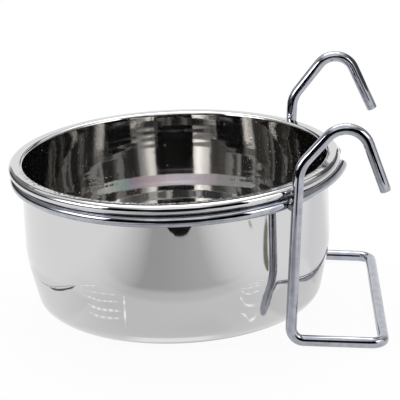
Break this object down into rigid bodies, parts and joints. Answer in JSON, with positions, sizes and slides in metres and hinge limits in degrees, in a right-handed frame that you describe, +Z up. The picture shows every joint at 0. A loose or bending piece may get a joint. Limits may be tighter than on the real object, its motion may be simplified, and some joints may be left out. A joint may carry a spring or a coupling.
{
  "type": "feeder cup with cage hanger",
  "caption": "Deep-drawn steel feeder cup with a rolled rim, carried in an open wire ring welded to a bent wire hanger with hooks and a lower loop that rests against a cage.",
  "frame": {"origin": "centre of the flat underside of the cup's base, on the cup's axis", "axes": "+Z runs up the cup's axis, +X points to the cage that the hooks hang on, and the hooks lie along Y"},
  "size_m": [0.1446, 0.1288, 0.0886],
  "materials": {
    "cup_steel": "bright, drawn and polished, with fine turning marks",
    "wire_chrome": "bright plated wire",
    "weld_chrome": "plated weld metal, slightly rough"
  },
  "bodies": {
    "holder": {"support_ring": "wire_chrome", "hanger_wire": "wire_chrome", "weld_front": "weld_chrome", "weld_rear": "weld_chrome"},
    "cup": {"cup": "cup_steel"}
  },
  "joints": [
    {"name": "cup_lift", "type": "slide", "parent": "holder", "child": "cup", "axis": [0, 0, 1], "range_m": [0, 0.11]}
  ]
}
